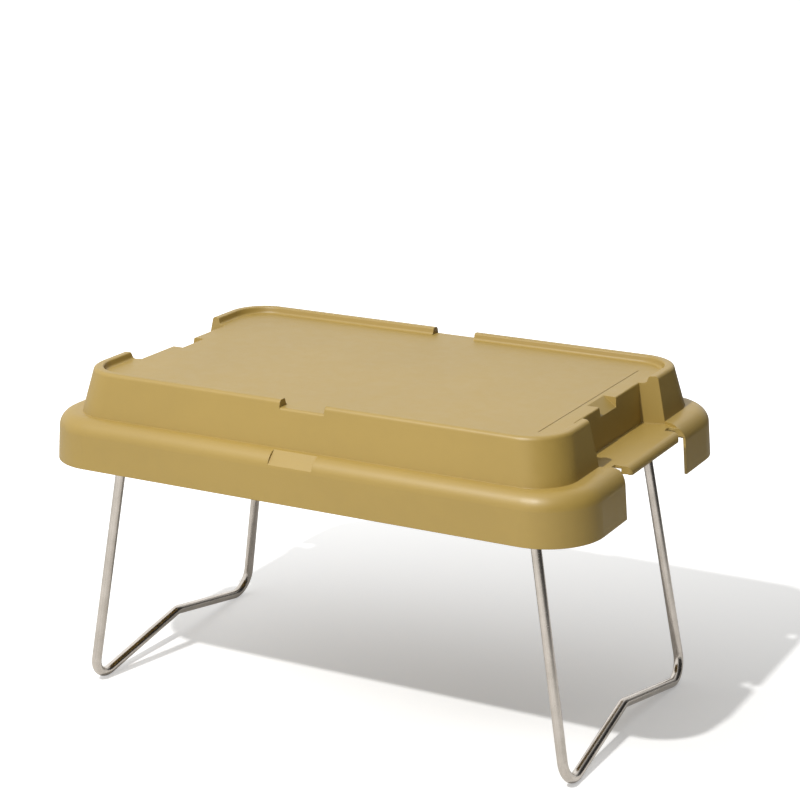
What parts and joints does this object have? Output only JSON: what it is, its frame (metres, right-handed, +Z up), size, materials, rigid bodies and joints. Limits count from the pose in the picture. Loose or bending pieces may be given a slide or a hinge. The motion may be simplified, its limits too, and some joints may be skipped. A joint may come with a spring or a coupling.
{
  "type": "folding side table",
  "caption": "Low folding side table: a rimmed plastic crate lid carried on folding bent-wire legs that lie flat under its ribs.",
  "frame": {"origin": "on the floor under the middle of the lid, with both legs standing", "axes": "+X along the lid's long side, +Y across it, +Z up"},
  "size_m": [0.56, 0.35, 0.324],
  "materials": {
    "lid_plastic": "matte fine-grained polypropylene, khaki",
    "cap_plastic": "matte polypropylene, khaki",
    "leg_wire": "bright bent stainless wire with fine drawing lines",
    "screw_steel": "bright zinc-plated steel"
  },
  "bodies": {
    "root": {"lid": "lid_plastic", "bearing_cap_right_rear": "cap_plastic", "bearing_cap_right_front": "cap_plastic", "bearing_cap_left_rear": "cap_plastic", "bearing_cap_left_front": "cap_plastic", "cap_screws_right_rear": "screw_steel", "cap_screws_right_front": "screw_steel", "cap_screws_left_rear": "screw_steel", "cap_screws_left_front": "screw_steel"},
    "right_leg": {"right_leg": "leg_wire"},
    "left_leg": {"left_leg": "leg_wire"}
  },
  "joints": [
    {"name": "right_leg_fold", "type": "hinge", "parent": "root", "child": "right_leg", "pos_m": [0.2087, 0, 0.279], "axis": [0, 1, 0], "range_deg": [0, 104]},
    {"name": "left_leg_fold", "type": "hinge", "parent": "root", "child": "left_leg", "pos_m": [-0.2087, 0, 0.279], "axis": [0, -1, 0], "range_deg": [0, 99.6]}
  ]
}
